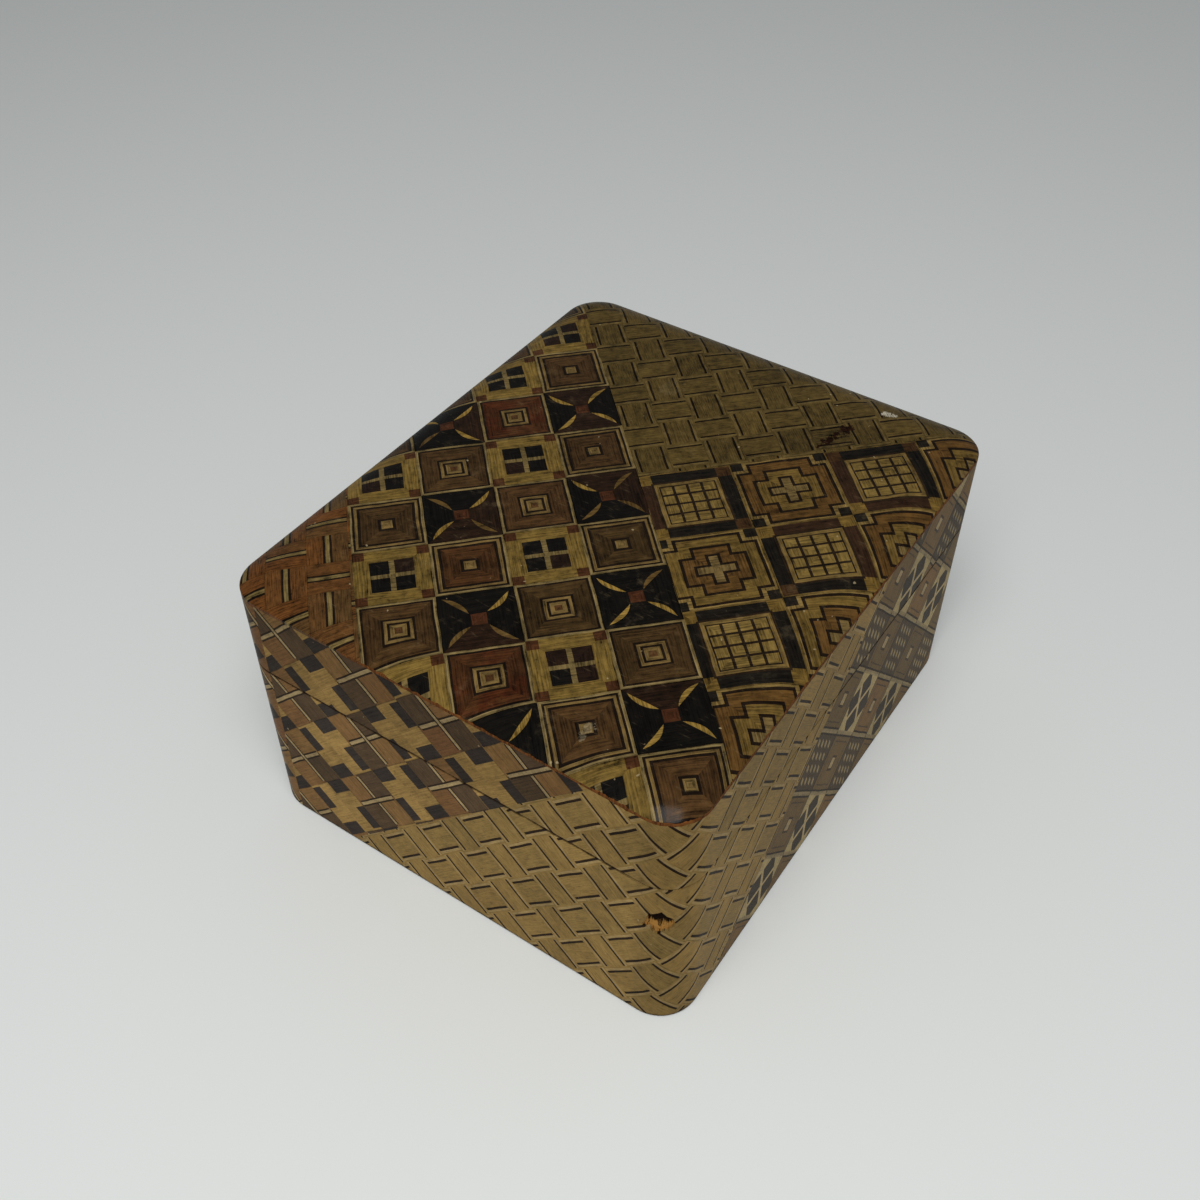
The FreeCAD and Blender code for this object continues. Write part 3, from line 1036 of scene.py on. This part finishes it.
def big_look(name):
    """Large chequer: tiled squares in dark frames, then stepped crosses."""
    row_up = 1.35
    row_down = 1.37
    shift_up = 0.36
    shift_down = 1.12
    cell_side = 19.55
    tile_side = 2.85
    look, shader, start, along, back, place, worn = top_start(name)
    a = (along - chequer_centre[0]) / chequer_period[0]
    b = (back - chequer_centre[1]) / chequer_period[1]
    wide_up = (a + b + shift_up) / row_up
    wide_down = (a - b - shift_down) / row_down
    cell_up = wide_up.whole()
    cell_down = wide_down.whole()
    up = (wide_up - cell_up) * cell_side
    down = (wide_down - cell_down) * cell_side
    odd = ((cell_up + cell_down) * 0.5).part() * 2.0
    far = abs(up) | abs(down)
    near = abs(up) & abs(down)
    tile_up = abs((up / tile_side).part() - 0.5)
    tile_down = abs((down / tile_side).part() - 0.5)
    tiles = start.paint(tone(104, 84, 42), tone(30, 21, 12), (tile_up | tile_down) > 0.4)
    side = start.chance(cell_up, cell_down, (abs(up) > abs(down)) + (up + down > 0.0) * 2.0 + 0.5)
    bars = start.paint(tone(22, 18, 13), tone(44, 28, 16), side > 0.8)
    ends = start.chance(cell_up, cell_down, (up > 0.0) + (down > 0.0) * 2.0 + 4.5) > 0.6
    ends = ends * (1.0 - is_cell(cell_up, cell_down, -2, 0))
    ends = start.paint(tone(94, 73, 32), tone(54, 35, 17), ends)
    bars = start.paint(bars, ends, near > 6.6)
    grid = start.paint(tiles, tone(100, 80, 42), far > 5.7)
    grid = start.paint(grid, tone(36, 25, 14), far > 6.5)
    grid = start.paint(grid, bars, far > 7.0)
    grid = start.paint(grid, tone(96, 76, 38), far > 9.5)
    step = far | (near + 2.7)
    russet = is_cell(cell_up, cell_down, 0, 1)
    for at in ((-1, 2), (-3, 0), (0, 3)):
        russet = russet | is_cell(cell_up, cell_down, at[0], at[1])
    gold = start.paint(tone(94, 74, 34), tone(80, 56, 25), russet)
    brown = start.paint(tone(81, 57, 26), tone(92, 72, 33), russet)
    string = tone(26, 17, 9)
    pale = tone(110, 89, 48)
    cross = pale
    for wood, edge in ((string, 9.3), (gold, 8.65), (string, 6.6), (brown, 5.95), (string, 4.15),
                       (tone(98, 80, 46), 3.55)):
        cross = start.paint(cross, wood, step < edge)
    cross = start.paint(cross, tone(26, 21, 15), near > 7.4)
    colour = start.paint(grid, cross, odd)
    fibres = grain_in(start, up / 14.0, down / 14.0, cell_up, cell_down, abs(up) > abs(down))
    lacquer(look, shader, start, colour, fibres, side, place, far > 9.6, worn,
            top_gloss, top_figure, top_level)
    return look


top_skin = crown_skin("lid_top_skin")
cut_sheets(top_skin, [rust_look("top_rust"), star_look("top_stars"),
                      top_basket_look("top_basket"), big_look("top_big_chequer")])
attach(top_skin, "lid")
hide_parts("lid_top_veneer")

# The studio: a plain pale floor under one broad soft lamp, which stands high on the camera's
# side, beyond the near corner, with even light all round from the world.
floor_half = 3
floor_mesh = bpy.data.meshes.new("studio_floor")
floor_mesh.from_pydata([(-floor_half, -floor_half, 0), (floor_half, -floor_half, 0),
                        (floor_half, floor_half, 0), (-floor_half, floor_half, 0)],
                       [], [(0, 1, 2, 3)])
floor = bpy.data.objects.new("studio_floor", floor_mesh)
bpy.context.scene.collection.objects.link(floor)
floor_look, floor_shader, _ = new_look("studio_floor")
floor_shader.inputs["Base Color"].default_value = tone(222, 224, 221)
floor_shader.inputs["Roughness"].default_value = 0.75
floor_mesh.materials.append(floor_look)

world = bpy.data.worlds.new("studio")
world.use_nodes = True
sky = world.node_tree.nodes["Background"]
sky.inputs["Color"].default_value = (0.93, 0.97, 1.0, 1.0)
sky.inputs["Strength"].default_value = 0.29
bpy.context.scene.world = world

lamp_place = Vector((-0.3, -0.16, 0.6))
lamp_aim = Vector((0, 0, 0.03))
lamp_data = bpy.data.lights.new("key_lamp", "AREA")
lamp_data.size = 0.4
lamp_data.energy = 3.55
lamp = bpy.data.objects.new("key_lamp", lamp_data)
lamp.location = lamp_place
lamp.rotation_euler = (lamp_aim - lamp_place).to_track_quat("-Z", "Y").to_euler()
bpy.context.scene.collection.objects.link(lamp)

# The camera at the photograph's view: high over the front corner, looking down past it. Its
# lens and place were fitted to the edges of the box and the squares of its pattern.
camera_turn = math.radians(-55.913)
camera_tilt = math.radians(44.529)
camera_aim = Vector((0.02715, 0.02506, 0.0))
camera_distance = 0.33405
camera_data = bpy.data.cameras.new("photo_camera")
camera_data.sensor_width = 36.0
camera_data.lens = 40.86
camera_data.clip_start = 0.01
camera_data.clip_end = 20.0
camera = bpy.data.objects.new("photo_camera", camera_data)
back_way = Vector((math.sin(camera_turn) * math.cos(camera_tilt),
                   -math.cos(camera_turn) * math.cos(camera_tilt), math.sin(camera_tilt)))
camera.location = camera_aim + back_way * camera_distance
camera.rotation_euler = (-back_way).to_track_quat("-Z", "Y").to_euler()
bpy.context.scene.collection.objects.link(camera)
bpy.context.scene.camera = camera
bpy.context.scene.view_settings.view_transform = "Standard"
